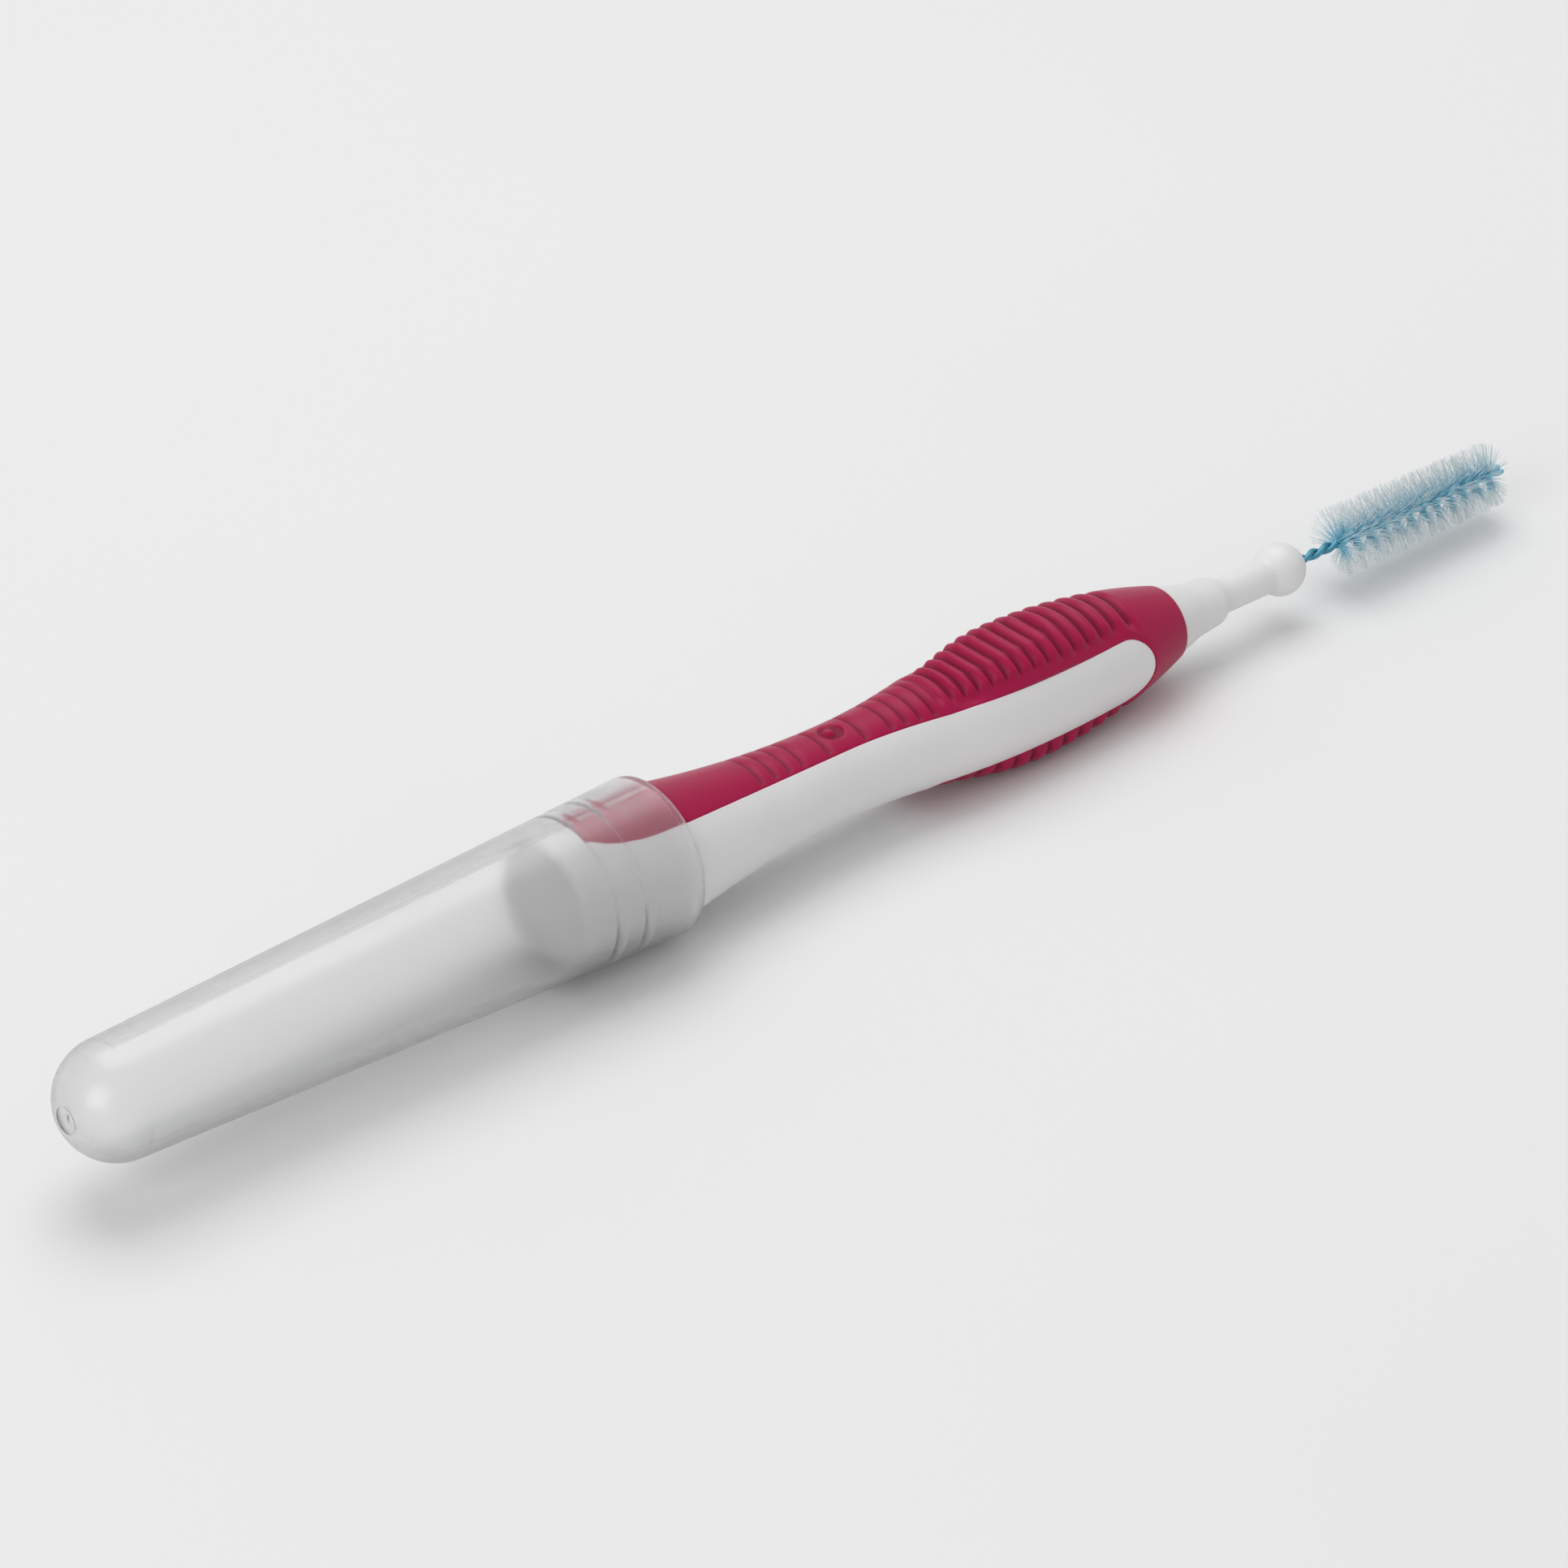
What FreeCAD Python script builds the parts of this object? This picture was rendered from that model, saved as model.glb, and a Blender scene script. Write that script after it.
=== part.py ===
"""Interdental travel brush with its cap posted on the tail of the handle.

Every piece is drawn along the X axis, from the pole of the cap's dome at x = 0 to the brush tip, and
all of them then share one placement: +X runs from the cap to the brush tip, +Z is up on the thumb pad's
side, and the origin lies under the middle of the object, level with the lowest point of the cap.
"""
import FreeCAD
import Part
import Sketcher

import math
import os
import re

SIZES = {
    # Travel cap: a tapered tube with a domed end and two grip beads inside its mouth.
    "cap_length": 41.0,
    "cap_mouth_od": 9.5,
    "cap_dome_radius": 3.5,
    "cap_wall": 0.6,
    "cap_lip_radius": 0.22,
    "cap_gate_diameter": 1.6,
    "cap_gate_depth": 0.15,
    "cap_bead_count": 2,
    "cap_bead_setback": 3.6,
    "cap_bead_pitch": 2.0,
    "cap_bead_width": 0.9,
    "cap_bead_height": 0.08,
    # Seat of the tail in the cap.
    "tail_depth": 8.1,
    "tail_clearance": 0.15,
    # Handle core: tail, waist, bulge and nose.
    "tail_length": 8.7,
    "tail_edge_radius": 0.5,
    "tail_to_waist": 21.9,
    "waist_diameter": 5.6,
    "waist_arc": 45.0,
    "waist_to_bulge": 13.1,
    "core_bulge_diameter": 7.32,
    "panel_arc": 85.0,
    "bulge_to_nose": 12.1,
    # Neck in front of the nose: flange, collar, stem and ball.
    "neck_base_diameter": 4.4,
    "neck_base_length": 2.05,
    "collar_diameter": 3.36,
    "collar_length": 1.45,
    "collar_end_diameter": 3.06,
    "collar_to_stem": 1.4,
    "stem_diameter": 2.16,
    "nose_to_ball": 9.5,
    "ball_diameter": 3.2,
    "ball_fillet": 0.5,
    # Soft grip: top strip, nose ring and lower pad, moulded over the core in one shot.
    "strip_depth": 0.7,
    "ring_wall": 0.55,
    "grip_bulge_diameter": 8.4,
    "nose_diameter": 4.6,
    "strip_tip_setback": 2.2,
    "strip_tip_height": 3.6,
    "strip_taper_length": 4.4,
    "strip_rear_height": 3.05,
    "strip_waist_height": 2.25,
    "panel_front_radius": 2.05,
    "panel_nose_setback": 3.5,
    "pad_setback": 8.1,
    "pad_round": 1.0,
    # Ribs across the thumb pad and the finger pad, with the pads' flats.
    "rib_count": 14,
    "rib_setback": 6.75,
    "rib_pitch": 0.845,
    "rib_growth": 0.027,
    "rib_depth": 0.32,
    "flat_depth": 0.28,
    "flat_arc": 90.0,
    # Fine grooves and the moulding gate's mark on the strip behind the ribs.
    "groove_radius": 0.18,
    "groove_depth": 0.13,
    "groove_count": 4,
    "rear_groove_reach": 7.1,
    "rear_groove_pitch": 1.08,
    "front_groove_reach": 2.7,
    "front_groove_pitch": 0.95,
    "gate_setback": 0.5,
    "gate_panel_length": 2.7,
    "gate_diameter": 1.6,
    "gate_depth": 0.2,
    "gate_nub_diameter": 0.6,
    "gate_nub_height": 0.15,
    # Twisted wire and its filaments.
    "wire_reach": 16.9,
    "wire_root_depth": 6.5,
    "wire_clearance": 0.03,
    "strand_diameter": 0.3,
    "strand_gap": 0.1,
    "twist_pitch": 2.2,
    "fold_length": 0.45,
    "bare_wire_length": 2.2,
    "bare_tip_length": 0.6,
    "bristle_diameter": 0.07,
    "bristle_spacing": 0.12,
    "brush_root_diameter": 4.5,
    "brush_tip_diameter": 3.7,
}

# Side on which an arc's centre lies, seen along an outline that is drawn clockwise.
HOLLOW = 1
FULL = -1

# Stations along the axis, written with the names of the sizes.
REAR_X = "(cap_dome_radius - sqrt(cap_dome_radius^2 - cap_gate_diameter^2 / 4))"
TAIL_X = "(cap_length - tail_depth)"
SHOULDER_X = f"({TAIL_X} + tail_length)"
WAIST_X = f"({TAIL_X} + tail_to_waist)"
BULGE_X = f"({WAIST_X} + waist_to_bulge)"
NOSE_X = f"({BULGE_X} + bulge_to_nose)"
WINDOW_X = f"({NOSE_X} - panel_nose_setback)"
BALL_X = f"({NOSE_X} + nose_to_ball)"
BALL_FRONT_X = f"({BALL_X} + ball_diameter / 2)"
TIP_X = f"({BALL_FRONT_X} + wire_reach)"
GATE_X = f"({WAIST_X} - gate_setback)"

# Radii at those stations, and one reach that is wider than any piece.
MOUTH_R = "(cap_mouth_od / 2)"
WAIST_R = "(waist_diameter / 2)"
CORE_BULGE_R = "(core_bulge_diameter / 2)"
GRIP_BULGE_R = "(grip_bulge_diameter / 2)"
NOSE_R = "(nose_diameter / 2)"
BALL_R = "(ball_diameter / 2)"
STEM_R = "(stem_diameter / 2)"
TWIST_R = "((strand_diameter + strand_gap) / 2)"
WIRE_R = f"({TWIST_R} + strand_diameter / 2)"
WIDE = "cap_mouth_od"

doc = FreeCAD.newDocument("interdental_brush")
sheet = doc.addObject("Spreadsheet::Sheet", "sizes")
for row, (alias, value) in enumerate(SIZES.items(), start=1):
    sheet.set(f"A{row}", alias.replace("_", " "))
    sheet.set(f"B{row}", str(value))
    sheet.setAlias(f"B{row}", alias)
doc.recompute()


def tied(expression):
    """The expression with each size's name pointing at its cell of the sheet."""
    def cell(word):
        return f"sizes.{word[0]}" if word[0] in SIZES else word[0]
    return re.sub(r"[a-z_]+", cell, expression)


def measure(expression):
    """Present value of an expression over the sizes, in millimetres."""
    return float(sheet.evalExpression(tied(expression)))


def bind(item, **expressions):
    """Tie the item's properties to expressions over the sizes."""
    for name, expression in expressions.items():
        item.setExpression(name.replace("__", "."), tied(expression))
    return item


class Outline:
    """Closed clockwise outline in the XZ plane, with each corner tied to the size sheet."""

    def __init__(self, body, name):
        self.sketch = body.newObject("Sketcher::SketchObject", name)
        plane = next(item for item in body.Origin.OriginFeatures if item.Role == "XZ_Plane")
        self.sketch.AttachmentSupport = (plane, [""])
        self.sketch.MapMode = "FlatFace"
        self.corners = []
        self.runs = []

    def start(self, x, z):
        self.corners.append((x, z))

    def line(self, x, z):
        self.corners.append((x, z))
        self.runs.append(None)

    def arc(self, x, z, radius, side):
        self.corners.append((x, z))
        self.runs.append((radius, side))

    def close(self):
        """Draw the runs, the last one straight back to the start, and constrain them fully."""
        self.runs.append(None)
        points = [FreeCAD.Vector(measure(x), measure(z), 0) for x, z in self.corners]
        pieces = [self.draw(*run) for run in zip(points, points[1:] + points[:1], self.runs)]
        for (piece, _, last), (after, first, _) in zip(pieces, pieces[1:] + pieces[:1]):
            self.sketch.addConstraint(Sketcher.Constraint("Coincident", piece, last, after, first))
        for (piece, first, _), (x, z), run in zip(pieces, self.corners, self.runs):
            self.fix("DistanceX", piece, first, x)
            self.fix("DistanceY", piece, first, z)
            if run:
                self.limit(Sketcher.Constraint("Radius", piece, measure(run[0])), run[0])

    def draw(self, start, end, run):
        """Add one run and return its number with the numbers of its first and last vertex."""
        if run is None:
            return self.sketch.addGeometry(Part.LineSegment(start, end)), 1, 2
        radius, side = measure(run[0]), run[1]
        chord = end - start
        across = FreeCAD.Vector(-chord.y, chord.x, 0).normalize()
        depth = math.sqrt(max(radius ** 2 - chord.Length ** 2 / 4, 0))
        centre = start + chord / 2 + across * depth * side
        first, last = (start, end) if side == HOLLOW else (end, start)
        angles = [math.atan2(point.y - centre.y, point.x - centre.x) for point in (first, last)]
        circle = Part.Circle(centre, FreeCAD.Vector(0, 0, 1), radius)
        number = self.sketch.addGeometry(Part.ArcOfCircle(circle, *angles))
        return (number, 1, 2) if side == HOLLOW else (number, 2, 1)

    def fix(self, kind, piece, vertex, expression):
        """Tie one coordinate of a vertex, or keep it on the axis where that coordinate is zero."""
        if expression == "0":
            axis = -2 if kind == "DistanceX" else -1
            self.sketch.addConstraint(Sketcher.Constraint("PointOnObject", piece, vertex, axis))
            return
        self.limit(Sketcher.Constraint(kind, -1, 1, piece, vertex, measure(expression)), expression)

    def limit(self, constraint, expression):
        number = self.sketch.addConstraint(constraint)
        self.sketch.setExpression(f"Constraints[{number}]", tied(expression))


def turned_body(label, draw):
    """Body of revolution about the X axis, from an outline of its upper half."""
    body = doc.addObject("PartDesign::Body", label)
    outline = Outline(body, f"{label}_outline")
    draw(outline)
    outline.close()
    turn = body.newObject("PartDesign::Revolution", f"{label}_turn")
    turn.Profile = outline.sketch
    turn.ReferenceAxis = (outline.sketch, ["H_Axis"])
    turn.Angle = 360
    return body


def side_body(label, draw):
    """Body cut from a block along Y, from an outline of the object's side view."""
    body = doc.addObject("PartDesign::Body", label)
    outline = Outline(body, f"{label}_outline")
    draw(outline)
    outline.close()
    pad = body.newObject("PartDesign::Pad", f"{label}_block")
    pad.Profile = outline.sketch
    pad.SideType = "Symmetric"
    bind(pad, Length=f"2 * {WIDE}")
    return body


def join(kind, label, base, tool):
    """Boolean of two objects: Part::Cut, Part::Common or Part::Fuse."""
    item = doc.addObject(kind, label)
    item.Base = base
    item.Tool = tool
    return item


def along_x(label, start, end, radius):
    """Cylinder about the X axis."""
    item = doc.addObject("Part::Cylinder", label)
    item.Placement.Rotation = FreeCAD.Rotation(FreeCAD.Vector(0, 1, 0), 90)
    return bind(item, Radius=radius, Height=f"{end} - {start}", Placement__Base__x=start)


def level_arc(run, fall):
    """Radius of an arc that is level at one end and falls by the given height over the given run."""
    return f"((({run})^2 + ({fall})^2) / (2 * ({fall})))"


# Taper of the cap, tangent to its dome, and the tail that follows the cap's bore.
CAP_REACH = "(cap_length - cap_dome_radius)"
CAP_SLOPE = f"(acos(cap_dome_radius / hypot({CAP_REACH}; {MOUTH_R})) - atan({CAP_REACH} / {MOUTH_R}))"


def bore_radius(x):
    return f"({MOUTH_R} - cap_wall / cos({CAP_SLOPE}) - (cap_length - ({x})) * tan({CAP_SLOPE}))"


def tail_radius(x):
    return f"({bore_radius(x)} - tail_clearance)"


def draw_cap(outline):
    """Half section of the cap's wall, from the gate mark on the dome round the lip and back inside."""
    gate_r = "cap_gate_diameter / 2"
    bead_arc = "((cap_bead_width^2 / 4 + cap_bead_height^2) / (2 * cap_bead_height))"
    inner_dome = "(cap_dome_radius - cap_wall)"
    lip_x = "cap_length - cap_lip_radius"
    outline.start("cap_gate_depth", "0")
    outline.line("cap_gate_depth", gate_r)
    outline.line(REAR_X, gate_r)
    outline.arc(f"cap_dome_radius * (1 - sin({CAP_SLOPE}))", f"cap_dome_radius * cos({CAP_SLOPE})",
                "cap_dome_radius", FULL)
    outline.line(lip_x, f"{MOUTH_R} - cap_lip_radius * tan({CAP_SLOPE})")
    outline.arc("cap_length", f"{MOUTH_R} - cap_lip_radius", "cap_lip_radius", FULL)
    outline.line("cap_length", f"{bore_radius('cap_length')} + cap_lip_radius")
    outline.arc(lip_x, bore_radius(lip_x), "cap_lip_radius", FULL)
    for number in range(SIZES["cap_bead_count"]):
        middle = f"(cap_length - cap_bead_setback - {number} * cap_bead_pitch)"
        front = f"({middle} + cap_bead_width / 2)"
        rear = f"({middle} - cap_bead_width / 2)"
        outline.line(front, bore_radius(front))
        outline.arc(rear, bore_radius(rear), bead_arc, FULL)
    outline.line(f"cap_dome_radius - {inner_dome} * sin({CAP_SLOPE})", f"{inner_dome} * cos({CAP_SLOPE})")
    outline.arc("cap_wall", "0", inner_dome, HOLLOW)


def swell(bulge_radius):
    """S-curve from the waist up to a bulge: its meeting point, height there and second radius."""
    turn = f"(2 * atan(({bulge_radius} - {WAIST_R}) / waist_to_bulge))"
    return {
        "x": f"({WAIST_X} + waist_arc * sin({turn}))",
        "height": f"({WAIST_R} + waist_arc * (1 - cos({turn})))",
        "arc": f"(waist_to_bulge / sin({turn}) - waist_arc)",
    }


REAR_WAIST_ARC = level_arc("tail_to_waist - tail_length", f"{tail_radius(SHOULDER_X)} - {WAIST_R}")


def draw_tail_and_waist(outline, drop):
    """Outer line of the handle from the tail to the waist, lowered by drop."""
    outline.line(SHOULDER_X, f"{tail_radius(SHOULDER_X)} - {drop}")
    outline.arc(WAIST_X, f"{WAIST_R} - {drop}", REAR_WAIST_ARC, HOLLOW)


def draw_bulge_and_nose(outline, drop, nose_radius):
    """Outer line of the core, lowered by drop: along the side panel and under half the ring to the nose."""
    rise = swell(CORE_BULGE_R)
    panel_end_x = f"({NOSE_X} - panel_nose_setback / 2)"
    fall = f"(panel_arc - sqrt(panel_arc^2 - ({panel_end_x} - {BULGE_X})^2))"
    outline.arc(rise["x"], f"{rise['height']} - {drop}", "waist_arc", HOLLOW)
    outline.arc(BULGE_X, f"{CORE_BULGE_R} - {drop}", rise["arc"], FULL)
    outline.arc(panel_end_x, f"{CORE_BULGE_R} - {fall} - {drop}", "panel_arc", FULL)
    outline.line(NOSE_X, nose_radius)


def draw_neck(outline):
    """Flange, collar, stem and ball, from the nose to the front of the ball."""
    collar_x = f"({NOSE_X} + neck_base_length)"
    collar_end_x = f"({collar_x} + collar_length)"
    outline.line(collar_x, "collar_diameter / 2")
    outline.line(collar_end_x, "collar_end_diameter / 2")
    fall = f"(collar_end_diameter / 2 - {STEM_R})"
    step_arc = f"(collar_to_stem / (2 * sin(2 * atan({fall} / collar_to_stem))))"
    outline.arc(f"{collar_end_x} + collar_to_stem / 2", f"{STEM_R} + {fall} / 2", step_arc, FULL)
    outline.arc(f"{collar_end_x} + collar_to_stem", STEM_R, step_arc, HOLLOW)
    setback = f"sqrt(({BALL_R} + ball_fillet)^2 - ({STEM_R} + ball_fillet)^2)"
    share = f"{BALL_R} / ({BALL_R} + ball_fillet)"
    outline.line(f"{BALL_X} - {setback}", STEM_R)
    outline.arc(f"{BALL_X} - {setback} * {share}", f"({STEM_R} + ball_fillet) * {share}", "ball_fillet",
                HOLLOW)
    outline.arc(BALL_X, BALL_R, BALL_R, FULL)
    outline.arc(BALL_FRONT_X, "0", BALL_R, FULL)


def draw_core(outline):
    outline.start(TAIL_X, "0")
    outline.line(TAIL_X, f"{tail_radius(TAIL_X)} - tail_edge_radius")
    edge_x = f"({TAIL_X} + tail_edge_radius)"
    outline.arc(edge_x, tail_radius(edge_x), "tail_edge_radius", FULL)
    draw_tail_and_waist(outline, "0")
    draw_bulge_and_nose(outline, "0", "(neck_base_diameter / 2)")
    draw_neck(outline)


def draw_grip_floor(outline):
    """Bottom of the recess that the soft grip fills."""
    outline.start(TAIL_X, "0")
    outline.line(TAIL_X, f"{tail_radius(TAIL_X)} - strip_depth")
    draw_tail_and_waist(outline, "strip_depth")
    draw_bulge_and_nose(outline, "strip_depth", f"({NOSE_R} - ring_wall)")
    outline.line(NOSE_X, "0")


def draw_side_panel(outline):
    """Side view of what stays core: below the strip, round the panel's front and behind the lower pad."""
    tip_x = f"({TAIL_X} + strip_tip_setback)"
    front_x = f"({WINDOW_X} - panel_front_radius)"
    pad_x = f"({BULGE_X} - pad_setback)"
    taper_arc = level_arc("strip_taper_length", "strip_tip_height - strip_rear_height")
    waist_arc = level_arc("tail_to_waist - tail_length", "strip_rear_height - strip_waist_height")
    outline.start(f"{TAIL_X} - {WIDE}", f"-{WIDE}")
    outline.line(f"{TAIL_X} - {WIDE}", WIDE)
    outline.line(tip_x, WIDE)
    outline.line(tip_x, "strip_tip_height")
    outline.arc(f"{tip_x} + strip_taper_length", "strip_rear_height", taper_arc, HOLLOW)
    outline.line(SHOULDER_X, "strip_rear_height")
    outline.arc(WAIST_X, "strip_waist_height", waist_arc, HOLLOW)
    outline.line(front_x, "panel_front_radius")
    outline.arc(WINDOW_X, "0", "panel_front_radius", FULL)
    outline.arc(front_x, "-panel_front_radius", "panel_front_radius", FULL)
    outline.line(f"{pad_x} + pad_round", "-panel_front_radius")
    outline.arc(pad_x, "-panel_front_radius - pad_round", "pad_round", HOLLOW)
    outline.line(pad_x, f"-{WIDE}")


# Ribs: backs on the grip's own line, or on the flatter line of the pads, with valleys between them.
GRIP_RISE = swell(GRIP_BULGE_R)
NOSE_ARC = level_arc("bulge_to_nose", f"{GRIP_BULGE_R} - {NOSE_R}")


def rib_x(number):
    """Station of a valley. The ribs grow wider towards the front."""
    steps = number * (number - 1) // 2
    return f"({BULGE_X} - rib_setback + {number} * rib_pitch + {steps} * rib_growth)"


def waist_height(x):
    """Radius of the handle's outer line on either side of the waist."""
    arc = f"({x} < {WAIST_X} ? {REAR_WAIST_ARC} : waist_arc)"
    return f"({WAIST_R} + {arc} - sqrt({arc}^2 - ({x} - {WAIST_X})^2))"


def crown_height(x, crown, rear_arc, front_arc):
    """Height at x of a crowned line that is level over the bulge."""
    arc = f"({x} < {BULGE_X} ? {rear_arc} : {front_arc})"
    return f"({crown} - {arc} + sqrt({arc}^2 - ({x} - {BULGE_X})^2))"


def grip_height(x):
    """Radius of the grip's own line in front of the waist."""
    crown = crown_height(x, GRIP_BULGE_R, GRIP_RISE["arc"], NOSE_ARC)
    return f"({x} < {GRIP_RISE['x']} ? {waist_height(x)} : {crown})"


def round_valley(number):
    """Radius in a valley. The first one is shallow, like the grooves behind it."""
    depth = "rib_depth" if number else "rib_depth / 2"
    return f"({grip_height(rib_x(number))} - {depth})"


def flat_valley(number):
    """Height of a valley on the pads' flats."""
    crown = f"({GRIP_BULGE_R} - flat_depth)"
    return f"({crown_height(rib_x(number), crown, 'flat_arc', 'flat_arc')} - rib_depth)"


def rib_arc(number, valley):
    """Radius of a rib's back, which rises by the ribs' depth between its two valleys."""
    run = f"(rib_pitch + {number} * rib_growth)"
    climb = f"({valley(number + 1)} - {valley(number)})"
    return f"((({run}^2 + {climb}^2) / 4 + rib_depth^2) / (2 * rib_depth))"


def draw_grip(outline):
    """Outer line of the soft grip: flush with the core behind, ribbed over the bulge, smooth at the nose."""
    count = SIZES["rib_count"]
    lead_x = f"({rib_x(0)} - rib_pitch / 2)"
    ring_x = f"({rib_x(count)} + rib_pitch / 2)"
    outline.start(TAIL_X, "0")
    outline.line(TAIL_X, tail_radius(TAIL_X))
    draw_tail_and_waist(outline, "0")
    outline.arc(lead_x, waist_height(lead_x), "waist_arc", HOLLOW)
    outline.line(rib_x(0), round_valley(0))
    for number in range(count):
        outline.arc(rib_x(number + 1), round_valley(number + 1), rib_arc(number, round_valley), FULL)
    outline.line(ring_x, grip_height(ring_x))
    outline.arc(NOSE_X, NOSE_R, NOSE_ARC, FULL)
    outline.line(NOSE_X, "0")


def draw_pad_flats(outline):
    """Side view that flattens the thumb pad and the finger pad, with the same ribs across both."""
    count = SIZES["rib_count"]
    outline.start(f"{TAIL_X} - {WIDE}", f"-{WIDE}")
    outline.line(f"{TAIL_X} - {WIDE}", WIDE)
    outline.line(rib_x(0), WIDE)
    outline.line(rib_x(0), flat_valley(0))
    for number in range(count):
        outline.arc(rib_x(number + 1), flat_valley(number + 1), rib_arc(number, flat_valley), FULL)
    outline.line(rib_x(count), WIDE)
    outline.line(f"{NOSE_X} + {WIDE}", WIDE)
    outline.line(f"{NOSE_X} + {WIDE}", f"-{WIDE}")
    outline.line(rib_x(count), f"-{WIDE}")
    outline.line(rib_x(count), f"-{flat_valley(count)}")
    for number in reversed(range(count)):
        outline.arc(rib_x(number), f"-{flat_valley(number)}", rib_arc(number, flat_valley), FULL)
    outline.line(rib_x(0), f"-{WIDE}")


def groove(number, x):
    """Ring that cuts one fine groove across the strip."""
    ring = doc.addObject("Part::Torus", f"groove_{number}")
    ring.Placement.Rotation = FreeCAD.Rotation(FreeCAD.Vector(0, 1, 0), 90)
    return bind(ring, Radius1=f"{waist_height(x)} + groove_radius - groove_depth", Radius2="groove_radius",
                Placement__Base__x=x)


def strip_marks():
    """Grooves in two groups, one each side of the gate's panel, and the gate's round dimple."""
    stations = [f"({GATE_X} - gate_panel_length / 2)", f"({GATE_X} + gate_panel_length / 2)"]
    for number in range(SIZES["groove_count"]):
        stations.append(f"({WAIST_X} - rear_groove_reach + {number} * rear_groove_pitch)")
        stations.append(f"({WAIST_X} + front_groove_reach + {number} * front_groove_pitch)")
    dimple = doc.addObject("Part::Cylinder", "gate_dimple")
    bind(dimple, Radius="gate_diameter / 2", Height=WIDE, Placement__Base__x=GATE_X,
         Placement__Base__z=f"{waist_height(GATE_X)} - gate_depth")
    marks = doc.addObject("Part::Compound", "strip_marks")
    marks.Links = [groove(number, x) for number, x in enumerate(stations)] + [dimple]
    return marks


def gate_nub():
    nub = doc.addObject("Part::Cylinder", "gate_nub")
    return bind(nub, Radius="gate_nub_diameter / 2", Height="gate_nub_height + gate_depth",
                Placement__Base__x=GATE_X, Placement__Base__z=f"{waist_height(GATE_X)} - 2 * gate_depth")


def arc_leg(start, corner, end):
    """Arc from start to end, tangent to the two equal legs that meet in the corner."""
    weight = math.cos((corner - start).getAngle(end - start))
    return Part.Arc(start, (start + end + corner * 2 * weight) / (2 + 2 * weight), end).toShape()


def biarc(start, start_way, end, end_way):
    """Two tangent arcs from one point and direction to another."""
    span = end - start
    ways = start_way + end_way
    bend = 2 * (1 - start_way.dot(end_way))
    leg = (math.sqrt(span.dot(ways) ** 2 + bend * span.dot(span)) - span.dot(ways)) / bend
    first = start + start_way * leg
    last = end - end_way * leg
    middle = (first + last) / 2
    return [arc_leg(start, first, middle), arc_leg(middle, last, end)]


def twist_angle(x):
    """Angle of the first strand about the axis, measured so that the fold at the tip lies level."""
    return 2 * math.pi * (x - measure(TIP_X)) / measure("twist_pitch")


def strand_point(x, side):
    """Point on a strand's centre line and its direction towards the tip; side is 1 or -1."""
    radius = measure(TWIST_R) * side
    lead = measure("twist_pitch") / (2 * math.pi)
    angle = twist_angle(x)
    point = FreeCAD.Vector(x, radius * math.cos(angle), radius * math.sin(angle))
    way = FreeCAD.Vector(lead, -radius * math.sin(angle), radius * math.cos(angle))
    return point, way.normalize()


def twisted_wire():
    """One wire, folded at the tip, whose two legs are twisted about each other."""
    root_x = measure(f"{BALL_FRONT_X} - wire_root_depth")
    apex_x = measure(f"{TIP_X} - strand_diameter / 2")
    end_x = apex_x - measure("fold_length")
    quarters = math.ceil((end_x - root_x) / measure("twist_pitch") * 4)
    stations = [root_x + (end_x - root_x) * number / quarters for number in range(quarters + 1)]
    out = [strand_point(x, 1) for x in stations]
    back = [(point, way * -1) for point, way in (strand_point(x, -1) for x in reversed(stations))]
    across = (back[0][0] - out[-1][0]).normalize()
    route = out + [(FreeCAD.Vector(apex_x, 0, 0), across)] + back
    edges = []
    for (start, start_way), (end, end_way) in zip(route, route[1:]):
        edges += biarc(start, start_way, end, end_way)
    path = Part.Wire(edges)
    section = Part.Circle(route[0][0], route[0][1], measure("strand_diameter") / 2)
    solid = path.makePipeShell([Part.Wire(section.toShape())], True, False)
    drawn = math.pi * measure("strand_diameter") ** 2 / 4 * path.Length
    print(f"wire: {path.Length:.2f} mm long, volume {solid.Volume:.4f} of {drawn:.4f} mm3")
    return solid


def bristle_field():
    """Filaments through the gap between the strands, each standing out on both sides."""
    first_x = measure(f"{BALL_FRONT_X} + bare_wire_length")
    last_x = measure(f"{TIP_X} - bare_tip_length")
    count = math.floor((last_x - first_x) / measure("bristle_spacing")) + 1
    filaments = []
    for number in range(count):
        x = first_x + number * measure("bristle_spacing")
        share = (x - first_x) / (last_x - first_x)
        length = measure("brush_root_diameter") * (1 - share) + measure("brush_tip_diameter") * share
        angle = twist_angle(x)
        way = FreeCAD.Vector(0, -math.sin(angle), math.cos(angle))
        start = FreeCAD.Vector(x, 0, 0) - way * length / 2
        filaments.append(Part.makeCylinder(measure("bristle_diameter") / 2, length, start, way))
    print(f"bristles: {count} filaments")
    return Part.makeCompound(filaments)


def shaped(label, shape):
    item = doc.addObject("Part::Feature", label)
    item.Shape = shape
    return item


travel_cap = turned_body("travel_cap", draw_cap)

grip_floor = turned_body("grip_floor", draw_grip_floor)
side_panel = side_body("side_panel", draw_side_panel)
grip_ring = join("Part::Cut", "grip_ring", along_x("grip_block", TAIL_X, NOSE_X, WIDE), grip_floor)
grip_room = join("Part::Cut", "grip_room", grip_ring, side_panel)
recessed_core = join("Part::Cut", "recessed_core", turned_body("core_blank", draw_core), grip_room)
wire_bore = along_x("wire_bore", f"({BALL_FRONT_X} - wire_root_depth - wire_clearance)",
                    f"({BALL_FRONT_X} + {BALL_R})", f"{WIRE_R} + wire_clearance")
handle_core = join("Part::Cut", "handle_core", recessed_core, wire_bore)

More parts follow.
